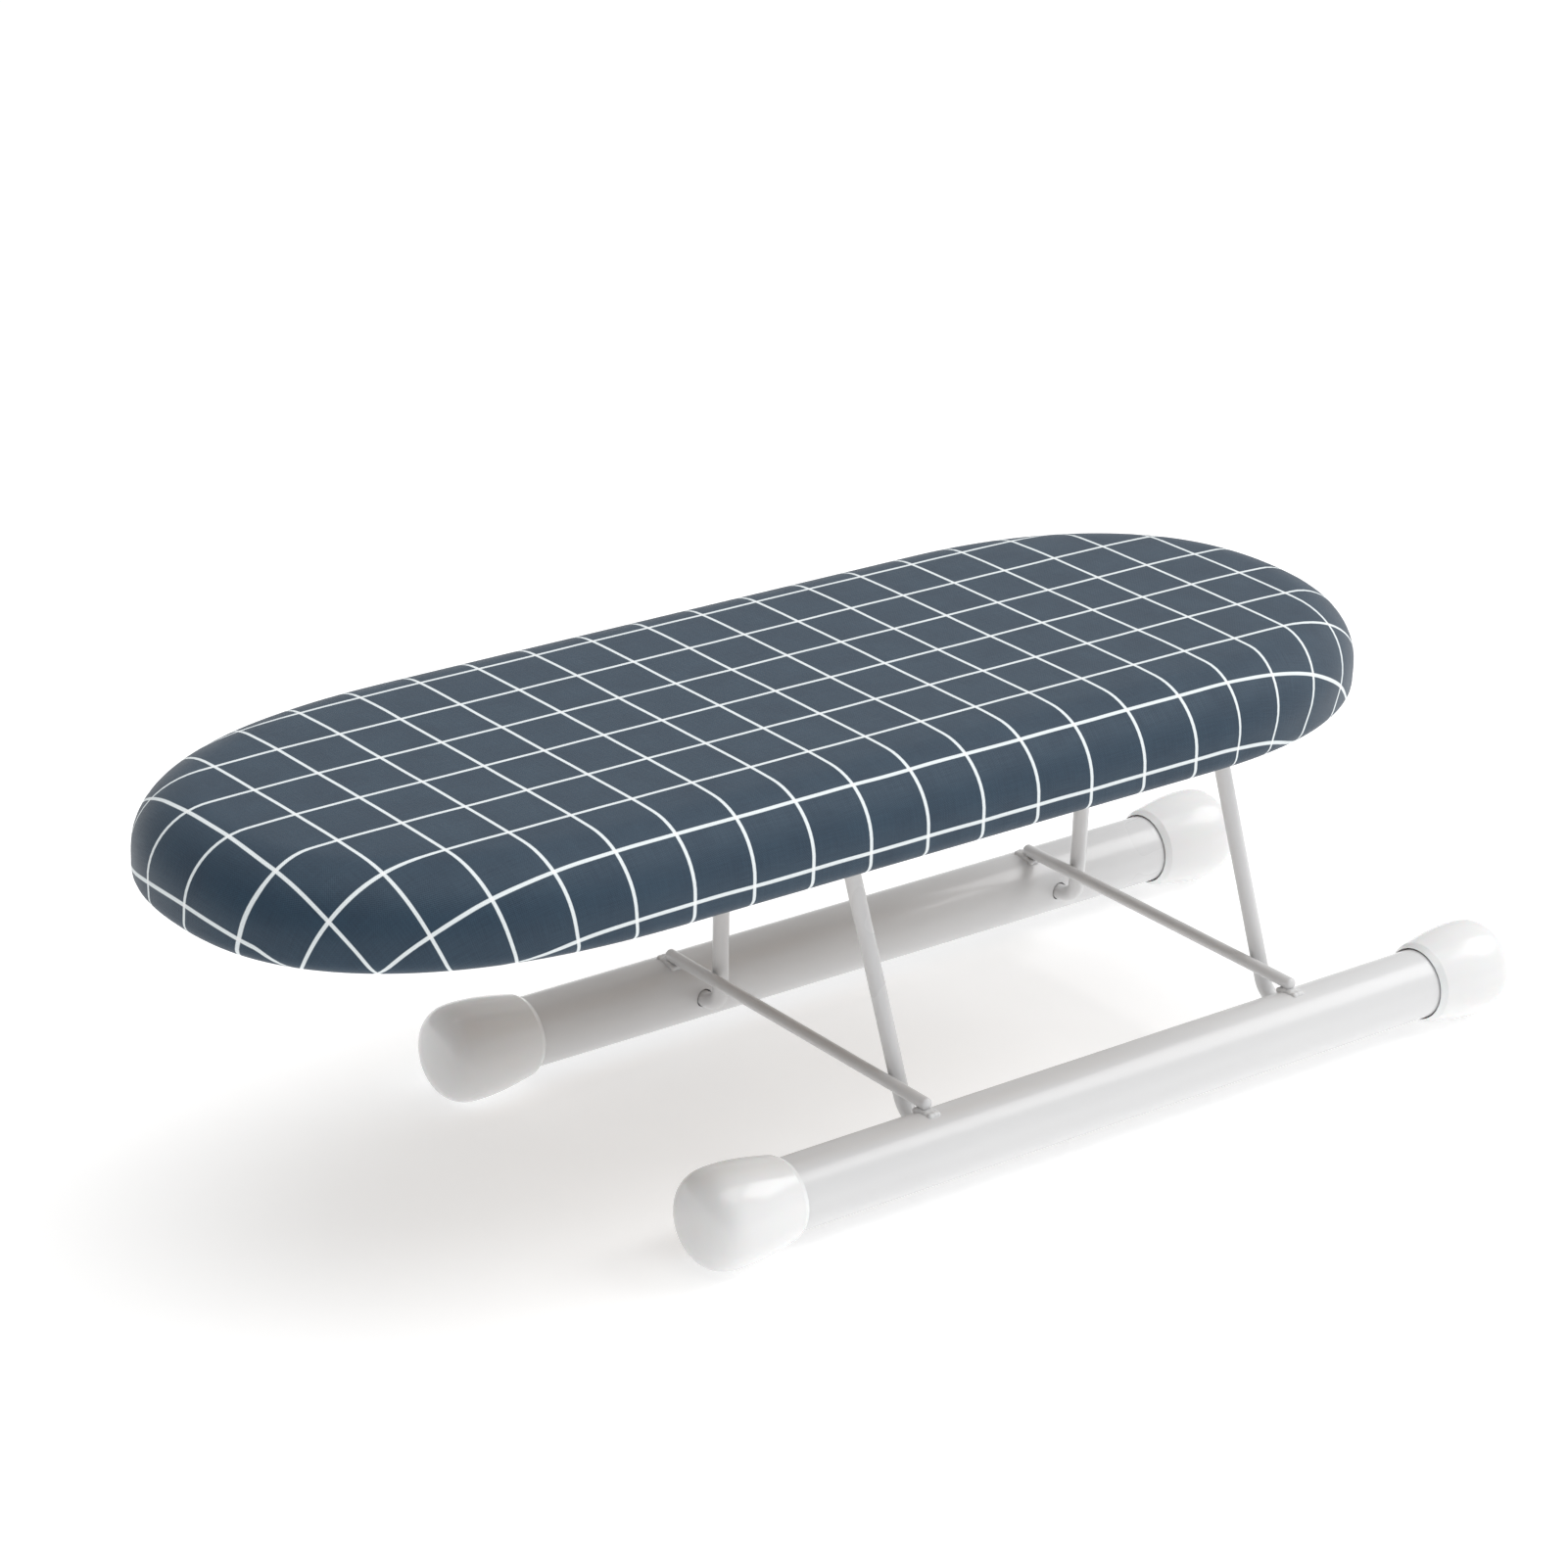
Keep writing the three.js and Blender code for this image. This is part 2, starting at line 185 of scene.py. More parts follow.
def cotton_material():
    """Slate blue cotton in a plain weave, with a white window check that follows the cloth."""
    g = Graph("check_cotton", **{"IOR": 1.52, "Sheen Weight": 0.17, "Sheen Roughness": 0.45})
    cloth = g.add("ShaderNodeUVMap", uv_map="cloth").outputs["UV"]
    drift = g.noise(cloth, scale=28.0, detail=1.0)
    parts = g.add("ShaderNodeSeparateXYZ", {"Vector": cloth})
    lines = []
    for axis, phase in (("X", CHECK_X), ("Y", CHECK_Y)):
        wander = g.math("MULTIPLY", g.math("SUBTRACT", drift, 0.5), LINE_WANDER)
        at = g.math("ADD", g.math("SUBTRACT", parts.outputs[axis], phase), wander)
        near = g.math("PINGPONG", at, CHECK / 2)
        edge = CHECK_LINE / 2
        lines.append(g.remap(near, edge + LINE_BLUR, edge - LINE_BLUR, 0, 1, "SMOOTHSTEP"))
    line = g.math("MAXIMUM", *lines)
    crossing = g.math("MULTIPLY", *lines)

    per_metre = math.pi / THREAD
    waves = [g.math("SINE", g.math("MULTIPLY", parts.outputs[axis], per_metre)) for axis in ("X", "Y")]
    weave = g.math("MULTIPLY", *waves)
    slubs = [g.noise(g.scaled(cloth, size), scale=1.0) for size in ((2400, 90, 1), (90, 2400, 1))]
    uneven = g.math("ADD", g.math("ADD", *slubs), g.noise(cloth, scale=60.0, detail=3.0))
    dye = g.remap(uneven, 1.1, 1.9, 0.0, 1.0)
    blue = g.mix(dye, rgb(14, 46, 67), rgb(24, 59, 80))
    # Threads that lie low in the weave are darkened: painted shade in the dips of the weave.
    blue = g.mix(g.remap(weave, -1, 1, 0.3, 0.0), blue, rgb(19, 36, 56))
    white = g.mix(crossing, rgb(234, 241, 243), rgb(250, 252, 252))
    # The white threads that lie low in the weave are darkened too: painted shade in the dips of the
    # weave.
    white = g.mix(g.remap(weave, -1, 1, 0.14, 0.0), white, rgb(176, 188, 196))
    g.set("Base Color", g.mix(line, blue, white))
    g.set("Roughness", g.remap(uneven, 1.1, 1.9, 0.66, 0.56))
    height = g.math("ADD", g.math("MULTIPLY", weave, 0.35), g.math("MULTIPLY", uneven, 0.5))
    g.set("Normal", g.bump(g.math("ADD", height, g.math("MULTIPLY", line, 0.4)), 0.07 * MM))
    return g.material


def foam_material():
    """Pale polyurethane foam: small open cells."""
    g = Graph("foam", **{"Roughness": 0.95})
    place = g.place()
    cells = g.add("ShaderNodeTexVoronoi", {"Vector": place, "Scale": 900.0})
    tone = g.noise(place, scale=90.0, detail=3.0)
    g.set("Base Color", g.mix(tone, rgb(214, 205, 178), rgb(238, 231, 208)))
    g.set("Normal", g.bump(cells.outputs["Distance"], 0.35 * MM, 0.8))
    return g.material


def elastic_material():
    """White knitted elastic: fine courses across the band."""
    g = Graph("elastic", **{"Roughness": 0.78, "Sheen Weight": 0.2})
    band = g.add("ShaderNodeUVMap", uv_map="band").outputs["UV"]
    parts = g.add("ShaderNodeSeparateXYZ", {"Vector": band})
    course, rib = (g.math("SINE", g.math("MULTIPLY", parts.outputs[axis], 2 * math.pi / pitch))
                   for axis, pitch in (("X", 0.9 * MM), ("Y", 1.0 * MM)))
    knit = g.math("ADD", g.math("MULTIPLY", course, 0.5), g.math("MULTIPLY", rib, 0.5))
    # The tone is partly random and partly painted shade: darker where the knit lies low, in the dips
    # between courses and ribs.
    tone = g.math("ADD", g.math("MULTIPLY", knit, 0.25), g.noise(band, scale=400.0))
    tone = g.remap(tone, 0.1, 0.9, 0, 1)
    g.set("Base Color", g.mix(tone, rgb(206, 205, 198), rgb(240, 240, 235)))
    g.set("Normal", g.bump(knit, 0.18 * MM, 0.9))
    return g.material


def thread_material():
    """White sewing thread, with its twist."""
    g = Graph("thread", **{"Roughness": 0.6, "Sheen Weight": 0.15})
    place = g.place()
    twist = g.noise(place, scale=2600.0)
    g.set("Base Color", g.mix(twist, rgb(200, 205, 206), rgb(238, 240, 238)))
    g.set("Normal", g.bump(twist, 0.08 * MM))
    return g.material


def fibreboard_material():
    """Brown fibreboard: pressed fibres lying every way, with a few dark flecks."""
    g = Graph("fibreboard", **{"Roughness": 0.72})
    place = g.place()
    fibres = [g.noise(g.scaled(place, size), scale=1.0, detail=4.0, roughness=0.65)
              for size in ((900, 220, 300), (240, 1000, 300))]
    felt = g.math("MULTIPLY", g.math("ADD", *fibres), 0.5)
    broad = g.noise(place, scale=14.0, detail=3.0)
    tone = g.mix(felt, rgb(112, 90, 66), rgb(166, 138, 106))
    tone = g.mix(g.remap(broad, 0.3, 0.7, 0.0, 0.35), tone, rgb(130, 104, 76))
    flecks = g.add("ShaderNodeTexVoronoi", {"Vector": place, "Scale": 330.0})
    fleck = g.remap(flecks.outputs["Distance"], 0.16, 0.10, 0.0, 0.55)
    g.set("Base Color", g.mix(fleck, tone, rgb(66, 45, 28)))
    g.set("Roughness", g.remap(felt, 0.3, 0.7, 0.82, 0.62))
    g.set("Normal", g.bump(felt, 0.12 * MM, 0.8))
    return g.material


def powder_coat_material():
    """White powder coat on steel: a low orange peel under a glossy skin."""
    g = Graph("white_powder_coat", **{"IOR": 1.5, "Coat Weight": 0.25, "Coat Roughness": 0.12})
    place = g.place()
    peel = g.noise(place, scale=240.0, detail=0.0)
    broad = g.noise(place, scale=9.0, detail=3.0)
    g.set("Base Color", g.mix(broad, rgb(216, 216, 217), rgb(224, 224, 224)))
    g.set("Roughness", g.remap(broad, 0.3, 0.7, 0.26, 0.32))
    g.set("Normal", g.bump(peel, 0.05 * MM, 0.3))
    return g.material


def plastic_material():
    """Glossy white moulded plastic, with the faint flow marks of the mould."""
    g = Graph("white_moulded_plastic", **{
        "IOR": 1.49, "Subsurface Weight": 0.08, "Subsurface Scale": 0.003,
        "Coat Weight": 0.15, "Coat Roughness": 0.08})
    place = g.place()
    flow = g.noise(g.scaled(place, (18, 60, 60)), scale=1.0, detail=3.0)
    grain = g.noise(place, scale=900.0, detail=1.0)
    g.set("Base Color", g.mix(flow, rgb(232, 232, 232), rgb(238, 238, 238)))
    g.set("Roughness", g.remap(flow, 0.3, 0.7, 0.16, 0.26))
    height = g.math("ADD", g.math("MULTIPLY", flow, 0.8), g.math("MULTIPLY", grain, 0.12))
    g.set("Normal", g.bump(height, 0.06 * MM, 0.35))
    return g.material


def zinc_material():
    """Bright zinc plate with the light and dark patches that plating leaves."""
    g = Graph("zinc_plate", **{"Metallic": 1.0})
    place = g.place()
    patches = g.noise(place, scale=420.0, detail=3.0, roughness=0.6)
    scuffs = g.noise(g.scaled(place, (300, 3000, 300)), scale=1.0)
    g.set("Base Color", g.mix(patches, rgb(168, 172, 178), rgb(214, 216, 216)))
    g.set("Roughness", g.remap(patches, 0.3, 0.7, 0.26, 0.42))
    g.set("Normal", g.bump(scuffs, 0.03 * MM, 0.5))
    return g.material


cotton = cotton_material()
foam = foam_material()
elastic = elastic_material()
thread = thread_material()
fibreboard = fibreboard_material()
powder_coat = powder_coat_material()
plastic = plastic_material()
zinc = zinc_material()


# ---------------------------------------------------------------- mesh helpers
WELD = 1e-6          # points nearer than this, in metres, are one point
WELD_FINE = 1e-7


def soften(obj, angle=32.0):
    """Smooth shading, with edges sharper than the angle kept crisp."""
    work = bmesh.new()
    work.from_mesh(obj.data)
    limit = math.radians(angle)
    for face in work.faces:
        face.smooth = True
    for edge in work.edges:
        edge.smooth = len(edge.link_faces) == 2 and edge.calc_face_angle(0.0) < limit
    work.to_mesh(obj.data)
    work.free()


def add_mesh(name, points, faces, material, angle=32.0, weld=0.0):
    """A mesh object from its points and faces, with its normals outwards."""
    mesh = bpy.data.meshes.new(name)
    mesh.from_pydata([tuple(p) for p in points], [], faces)
    work = bmesh.new()
    work.from_mesh(mesh)
    if weld:
        bmesh.ops.remove_doubles(work, verts=work.verts, dist=weld)
    bmesh.ops.recalc_face_normals(work, faces=work.faces)
    work.to_mesh(mesh)
    work.free()
    obj = bpy.data.objects.new(name, mesh)
    scene.collection.objects.link(obj)
    mesh.materials.append(material)
    soften(obj, angle)
    return obj


def apply_modifiers(obj):
    """Keeps the mesh that the modifiers make, and drops them."""
    graph = bpy.context.evaluated_depsgraph_get()
    made = bpy.data.meshes.new_from_object(obj.evaluated_get(graph), depsgraph=graph)
    obj.modifiers.clear()
    obj.data = made


def ring_faces(rings, count, wrap=False):
    """Quads from each closed ring of points to the next."""
    faces = []
    for r in range(rings if wrap else rings - 1):
        a, b = r * count, ((r + 1) % rings) * count
        for k in range(count):
            n = (k + 1) % count
            faces.append((a + k, b + k, b + n, a + n))
    return faces


def fillet(first, corner, last, setback, steps=6):
    """2D points from first to last by way of a corner, rounded from this far before it."""
    first, corner, last = (np.array(point, float) for point in (first, corner, last))
    into, out = first - corner, last - corner
    a = corner + into / np.linalg.norm(into) * setback
    b = corner + out / np.linalg.norm(out) * setback
    curve = [(1 - t) ** 2 * a + 2 * t * (1 - t) * corner + t * t * b
             for t in np.linspace(0, 1, steps + 1)]
    return [tuple(point) for point in (first, *curve, last)]


def lathe(name, profile, place, along, material, segments, angle=32.0):
    """A profile of (radius, height) turned round the line that leaves a place in a direction."""
    along = Vector(along).normalized()
    side = along.orthogonal().normalized()
    other = along.cross(side)
    points = []
    for radius, height in profile:
        for k in range(segments):
            turn = 2 * math.pi * k / segments
            out = side * math.cos(turn) + other * math.sin(turn)
            points.append(Vector(place) + along * height + out * radius)
    hollow = profile[0][0] > WELD_FINE
    faces = ring_faces(len(profile), segments, wrap=hollow)
    return add_mesh(name, points, faces, material, angle, weld=WELD_FINE)


def sweep(name, line, radius, material, sides, closed=False, up=None):
    """A round section drawn along a line of points."""
    line = [Vector(p) for p in line]
    count = len(line)
    points = []
    normal = None
    for k, at in enumerate(line):
        before = line[k - 1] if (k or closed) else at
        after = line[(k + 1) % count] if (k + 1 < count or closed) else at
        tangent = (after - before).normalized()
        if up is not None:
            normal = Vector(up)
        elif normal is None:
            normal = tangent.orthogonal()
        normal = (normal - tangent * normal.dot(tangent)).normalized()
        other = tangent.cross(normal)
        for s in range(sides):
            turn = 2 * math.pi * s / sides
            points.append(at + other * (radius * math.cos(turn)) + normal * (radius * math.sin(turn)))
    faces = ring_faces(count, sides, wrap=closed)
    if not closed:
        faces.append(tuple(range(sides)))
        faces.append(tuple(range((count - 1) * sides, count * sides)))
    return add_mesh(name, points, faces, material, angle=50)


def drill(place, along, radius, depth, material, segments):
    """A plain cutting tool for a round hole."""
    profile = [(0, 0), (radius, 0), (radius, depth), (0, depth)]
    return lathe("tool", profile, place, along, material, segments)


def subtract(obj, *tools):
    """Cuts the tools out of a piece, and removes them."""
    for tool in tools:
        cut = obj.modifiers.new("cut", "BOOLEAN")
        cut.operation = "DIFFERENCE"
        cut.solver = "EXACT"
        cut.object = tool
    apply_modifiers(obj)
    for tool in tools:
        bpy.data.objects.remove(tool)


# ---------------------------------------------------------------- the board's outline and section
def half_outline():
    """Dense points and outward normals from the right tip round the rear side to the left tip."""
    points, normals = [], []
    quarter = np.linspace(0, math.pi / 2, 1500)
    ends = (
        (BOARD_RIGHT - RIGHT_END["reach"], 1, RIGHT_END, quarter),
        (BOARD_LEFT + LEFT_END["reach"], -1, LEFT_END, np.linspace(math.pi / 2, 0, len(quarter))),
    )
    for centre, sign, end, angles in ends:
        c, s = np.clip(np.cos(angles), 0, 1), np.clip(np.sin(angles), 0, 1)
        x = centre + sign * end["reach"] * c ** (2 / end["power"])
        y = BOARD_HALF * s ** (2 / end["power"])
        slope = 2 - 2 / end["power"]
        n = np.stack([sign * c ** slope / end["reach"], s ** slope / BOARD_HALF], 1)
        points.append(np.stack([x, y], 1))
        normals.append(n / np.linalg.norm(n, axis=1, keepdims=True))
    return np.concatenate(points), np.concatenate(normals)


def outline(count):
    """Evenly spaced points round the board, counterclockwise from the right tip, with their normals,
    and the length of the way round."""
    points, normals = half_outline()
    travelled = np.concatenate([[0], np.cumsum(np.linalg.norm(np.diff(points, axis=0), axis=1))])
    at = np.linspace(0, travelled[-1], count // 2 + 1)
    p = np.stack([np.interp(at, travelled, points[:, i]) for i in (0, 1)], 1)
    n = np.stack([np.interp(at, travelled, normals[:, i]) for i in (0, 1)], 1)
    n[0], n[-1] = (1, 0), (-1, 0)
    n /= np.linalg.norm(n, axis=1, keepdims=True)
    p[0, 1] = p[-1, 1] = 0
    mirror = np.array([1, -1])
    p = np.concatenate([p, (p * mirror)[-2:0:-1]])
    n = np.concatenate([n, (n * mirror)[-2:0:-1]])
    return p, n, 2 * travelled[-1]


def edge_section(offset, top_steps, low_steps):
    """(inset, depth) from the start of the top rolled edge to the end of the lower one, for a skin
    that lies this far inside the board's outside."""
    steps = []
    for a in np.linspace(0, math.pi / 2, top_steps + 1):
        steps.append((TOP_ROLL[0] - (TOP_ROLL[0] - offset) * math.sin(a),
                      TOP_ROLL[1] - (TOP_ROLL[1] - offset) * math.cos(a)))
    straight = THICKNESS - LOW_ROLL[1] - TOP_ROLL[1]
    steps.append((offset, TOP_ROLL[1] + straight / 2))
    for b in np.linspace(0, math.pi / 2, low_steps + 1):
        steps.append((LOW_ROLL[0] - (LOW_ROLL[0] - offset) * math.cos(b),
                      THICKNESS - LOW_ROLL[1] + (LOW_ROLL[1] - offset) * math.sin(b)))
    return steps


def ring_at(p, n, inset, depth):
    """The outline p with normals n, drawn in by an inset, at a depth below the board's top."""
    flat = p - n * inset
    return np.column_stack([flat, np.full(len(p), BOARD_TOP - depth)])


def spine_of(ring):
    """Where a ring's points meet on the board's long middle line."""
    centre = (BOARD_LEFT + BOARD_RIGHT) / 2
    reach = (BOARD_RIGHT - BOARD_LEFT) / 2
    share = (reach - BOARD_HALF) / reach
    spine = ring.copy()
    spine[:, 0] = centre + (ring[:, 0] - centre) * share
    spine[:, 1] = 0
    return spine


def filled(ring, steps):
    """Rings from the middle line out to a ring, without that ring."""
    spine = spine_of(ring)
    return [spine + (ring - spine) * t for t in np.linspace(0, 1, steps, endpoint=False)]


# ---------------------------------------------------------------- cloth simulation of the stuffed board
SWELL_START = 1.1 * MM       # the simulated body is the pad, this much inside the cover's outside
SWELL_CAP = 1.0 * MM         # and a point of it moves this far at most
SWELL_VOXEL = 5 * MM
SWELL_FRAMES = 20
PANEL_GRIP, PANEL_GRIP_HEIGHT = 1.4, 7 * MM   # the panel's hold at the lower edge, and where it ends
FOAM_GRIP = 0.15             # how firmly the foam below holds the skin: 0 not at all, 1 rigidly
FOAM_UNEVEN = 0.09           # the share by which that grip differs from place to place
FIELD_NEIGHBOURS, FIELD_REACH = 28, 9 * MM    # a point moves as the simulated points near it do


def swell_field():
    """Blows up a copy of the pad's skin with Blender's cloth. The panel holds its lower edge, and the
    foam holds the rest softly, a little more in some places than in others.
    Gives a function from points on the board's surface to how far each one moves."""
    p, n, _ = outline(160)
    rings = filled(ring_at(p, n, TOP_ROLL[0], SWELL_START), 10)
    rings += [ring_at(p, n, inset, depth) for inset, depth in edge_section(SWELL_START, 8, 3)]
    last = ring_at(p, n, HEM, THICKNESS - SWELL_START)
    rings += [last] + filled(last, 8)[::-1]
    faces = ring_faces(len(rings), len(p))
    body = add_mesh("swell_body", np.concatenate(rings), faces, foam, weld=WELD)
    remesh = body.modifiers.new("remesh", "REMESH")
    remesh.mode = "VOXEL"
    remesh.voxel_size = SWELL_VOXEL
    apply_modifiers(body)
    rest = np.array([v.co for v in body.data.vertices])

    random = np.random.default_rng(SEED)
    waves = random.uniform(20, 75, (6, 2)) * random.choice((-1, 1), (6, 2))
    phases = random.uniform(0, 2 * math.pi, 6)
    held = body.vertex_groups.new(name="held")
    for index, point in enumerate(rest):
        by_panel = PANEL_GRIP * (1 - (point[2] - BOARD_BOTTOM) / PANEL_GRIP_HEIGHT)
        uneven = np.sin(waves @ point[:2] + phases).mean()
        by_foam = FOAM_GRIP * (1 + FOAM_UNEVEN * uneven)
        held.add([index], float(np.clip(by_panel, by_foam, 1)), "REPLACE")
    cloth = body.modifiers.new("cloth", "CLOTH")
    settings = cloth.settings
    settings.quality = 6
    settings.mass = 0.25
    settings.tension_stiffness = settings.compression_stiffness = 18
    settings.shear_stiffness = 8
    settings.bending_stiffness = 3
    settings.air_damping = 4
    settings.use_pressure = True
    settings.uniform_pressure_force = 4
    settings.vertex_group_mass = "held"
    settings.pin_stiffness = 1
    settings.effector_weights.gravity = 0
    cloth.point_cache.frame_start, cloth.point_cache.frame_end = 1, SWELL_FRAMES
    for number in range(1, SWELL_FRAMES + 1):
        scene.frame_set(number)
    graph = bpy.context.evaluated_depsgraph_get()
    blown = body.evaluated_get(graph)
    moved = np.array([v.co for v in blown.data.vertices]) - rest
    scene.frame_set(1)
    bpy.data.objects.remove(body)

    length = np.linalg.norm(moved, axis=1, keepdims=True)
    moved *= SWELL_CAP * np.tanh(length / SWELL_CAP) / np.maximum(length, 1e-9)
    tree = kdtree.KDTree(len(rest))
    for index, point in enumerate(rest):
        tree.insert(point, index)
    tree.balance()

    def field(points):
        found = np.zeros_like(points)
        for k, point in enumerate(points):
            near = tree.find_n(point, FIELD_NEIGHBOURS)
            weights = np.array([math.exp(-((far / FIELD_REACH) ** 2)) for _, _, far in near]) + 1e-12
            shares = moved[[index for _, index, _ in near]] * weights[:, None]
            found[k] = shares.sum(0) / weights.sum()
        return found

    return field


swell = swell_field()


# ---------------------------------------------------------------- cover, pad, elastic and stitches
AROUND = 720             # points round the board
# How far the cloth slants towards each tip as the outline turns from the long side, 0, to the tip, 1.
TURNED = (0, 0.05, 0.2, 0.35, 0.6, 0.9, 1)
SLANT_RIGHT = (0, 0.15, 0.37, 0.37, 0.25, 0.2, 0)
SLANT_LEFT = (0, 0.03, 0.09, 0.12, 0.16, 0.24, 0)
SLANT_EASE = 10 * MM     # the slant comes in slowly over about this much cloth
TIP_STRETCH = 0.12       # the share by which the cloth is stretched over the left tip


def gather_wave():
    """Depth of the gathers round the hem, 0 to 1 at each point. They are uneven, because they add up
    waves that go 70 to 114 times round the board."""
    random = np.random.default_rng(SEED)
    turn = np.linspace(0, 2 * math.pi, AROUND, endpoint=False)
    wave = np.zeros(AROUND)
    for count in range(70, 118, 4):
        wave += random.uniform(0.4, 1.0) * np.cos(count * turn + random.uniform(0, 2 * math.pi))
    wave /= np.abs(wave).max()
    return np.clip(0.5 + 0.75 * wave, 0, 1) ** 1.3


TIGHT_BEND = 90 * MM     # an outline bent to this radius or less has the full gathers


def bend_share(n, length):
    """1 where the outline bends tightly, 0 along the straight sides, smoothed."""
    turn = np.linalg.norm(np.roll(n, -3, 0) - np.roll(n, 3, 0), axis=1) / (6 * length / len(n))
    share = np.clip(turn * TIGHT_BEND, 0, 1)
    margin = 30
    kernel = np.hanning(2 * margin + 1)
    kernel /= kernel.sum()
    padded = np.concatenate([share[-margin:], share, share[:margin]])
    return np.convolve(padded, kernel, "valid")


def cloth_beyond(n, travelled):
    """Where the flat cloth gets to, beyond each point of the outline, once this much has gone by.
    The elastic draws it towards the tips where the outline bends, and over the left tip it is
    stretched as well."""
    x, y = n[:, 0], n[:, 1]
    towards_tip = np.column_stack([np.sign(x) * np.abs(y), -np.sign(y) * np.abs(x)])
    drawn = np.where(x > 0, np.interp(x, TURNED, SLANT_RIGHT), np.interp(-x, TURNED, SLANT_LEFT))
    stretch = 1 - TIP_STRETCH * np.clip(-x, 0, 1) ** 2
    eased = travelled ** 2 / (travelled + SLANT_EASE)
    return (n * travelled + towards_tip * (drawn * eased)[:, None]) * stretch[:, None]


board_p, board_n, board_round = outline(AROUND)
STRAIGHT_PLEAT = 0.35    # the share of the gathers' depth along the straight sides
PLEAT = gather_wave() * (STRAIGHT_PLEAT + (1 - STRAIGHT_PLEAT) * bend_share(board_n, board_round))
PLEAT_DEPTH = 2.1 * MM
HEM_FOLD = 0.35 * MM     # the step where the hem's cloth lies double, from this share of the way in
HEM_FOLD_AT = 0.62


def make_cover():
    """The checked cover: top, rolled edges and gathered underside, as one cloth of real thickness.
    Gives the piece, and the size and area of the flat cloth."""
    top = ring_at(board_p, board_n, TOP_ROLL[0], 0)
    rings = filled(top, 16)
    cloth = [ring[:, :2] for ring in rings]
    start = board_p - board_n * TOP_ROLL[0]
    section = edge_section(0.0, 13, 6)
    under = np.linspace(LOW_ROLL[0], HEM, 13)[1:]
    section += [(inset, THICKNESS) for inset in under]
    travelled = 0.0
    for k, (inset, depth) in enumerate(section):
        if k:
            travelled += math.hypot(inset - section[k - 1][0], depth - section[k - 1][1])
        rings.append(ring_at(board_p, board_n, inset, depth))
        cloth.append(start + cloth_beyond(board_n, travelled))
    points = np.concatenate(rings)
    points = points + swell(points)
    count = len(rings)
    faces = ring_faces(count, AROUND)

    # Gathers: none at the lower rolled edge, full at the hem, with a fold of double cloth near it.
    for step in range(len(under)):
        t = (step + 1) / len(under)
        row = slice((count - len(under) + step) * AROUND, (count - len(under) + step + 1) * AROUND)
        drop = PLEAT * PLEAT_DEPTH * t ** 1.5
        fold = HEM_FOLD * np.clip((t - HEM_FOLD_AT) / 0.1, 0, 1)
        points[row, 2] -= drop + fold

    mesh = bpy.data.meshes.new("check_cover")
    mesh.from_pydata([tuple(p) for p in points], [], faces)
    flat = np.concatenate(cloth)
    layer = mesh.uv_layers.new(name="cloth")
    corner = np.zeros(len(mesh.loops), np.int32)
    mesh.loops.foreach_get("vertex_index", corner)
    layer.data.foreach_set("uv", flat[corner].astype(np.float32).ravel())
    work = bmesh.new()
    work.from_mesh(mesh)
    bmesh.ops.remove_doubles(work, verts=work.verts[: AROUND], dist=WELD)
    work.to_mesh(mesh)
    work.free()
    mesh.materials.append(cotton)
    obj = bpy.data.objects.new("check_cover", mesh)
    scene.collection.objects.link(obj)
    solid = obj.modifiers.new("cloth_thickness", "SOLIDIFY")
    solid.thickness = COVER
    solid.offset = -1
    solid.use_rim = True
    apply_modifiers(obj)
    soften(obj, 60)

    hem = cloth[-1]
    ahead = np.roll(hem, -1, 0)
    area = abs((hem[:, 0] * ahead[:, 1] - ahead[:, 0] * hem[:, 1]).sum()) / 2
    size = hem.max(0) - hem.min(0)
    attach(obj, "board")
    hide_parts("fabric_cover")
    return obj, (float(size[1]), float(size[0])), float(area)


def make_pad():
    """The foam pad under the cover, with the pocket below that the panel sits in."""
    p, n, _ = outline(240)
    offset = COVER + GAP
    rings = filled(ring_at(p, n, TOP_ROLL[0], offset), 12)
    rings += [ring_at(p, n, inset, depth) for inset, depth in edge_section(offset, 8, 4)]
    outside = len(rings) * len(p)
    lip = PANEL_INSET - GAP
    ceiling = BOARD_TOP - PANEL_TOP - GAP
    rings.append(ring_at(p, n, lip, THICKNESS - offset))
    rings.append(ring_at(p, n, lip, ceiling))
    rings += filled(rings[-1], 8)[::-1]
    points = np.concatenate(rings)
    points[:outside] += swell(points[:outside])
    obj = add_mesh("foam_filling", points, ring_faces(len(rings), len(p)), foam, 50, weld=WELD)
    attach(obj, "board")
    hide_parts("foam_pad")
    return obj


def make_elastic():
    """A knitted band with ribs along it, sewn to the hem's edge and pulled into its gathers."""
    width, thick = ELASTIC
    top = THICKNESS - COVER
    across = []
    ribs, per_rib, rib_height = 5, 6, 0.16 * MM
    at_hem, at_free_edge = 0.85, 0.25        # how fully the band follows the gathers
    steps = ribs * per_rib
    start = HEM + GAP
    for k in range(steps + 1):
        share = k / steps
        ridge = rib_height * abs(math.sin(math.pi * share * ribs))
        across.append((start + width * share, top + thick - rib_height + ridge))
    for k in range(5, -1, -1):
        across.append((start + width * k / 5, top))
    rings = [ring_at(board_p, board_n, inset, depth) for inset, depth in across]
    for ring, (inset, _) in zip(rings, across):
        share = (inset - start) / width
        ring[:, 2] -= PLEAT * PLEAT_DEPTH * (at_hem + (at_free_edge - at_hem) * share)
    points = np.concatenate(rings)
    obj = add_mesh("hem_elastic", points, ring_faces(len(rings), AROUND, wrap=True), elastic, 50)
    layer = obj.data.uv_layers.new(name="band")
    corner = np.zeros(len(obj.data.loops), np.int32)
    obj.data.loops.foreach_get("vertex_index", corner)
    ring_index, along = corner // AROUND, corner % AROUND
    uv = np.column_stack([along * board_round / AROUND, np.array([a[0] for a in across])[ring_index]])
    layer.data.foreach_set("uv", uv.astype(np.float32).ravel())
    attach(obj, "board")
    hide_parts("elastic_edging")
    return obj


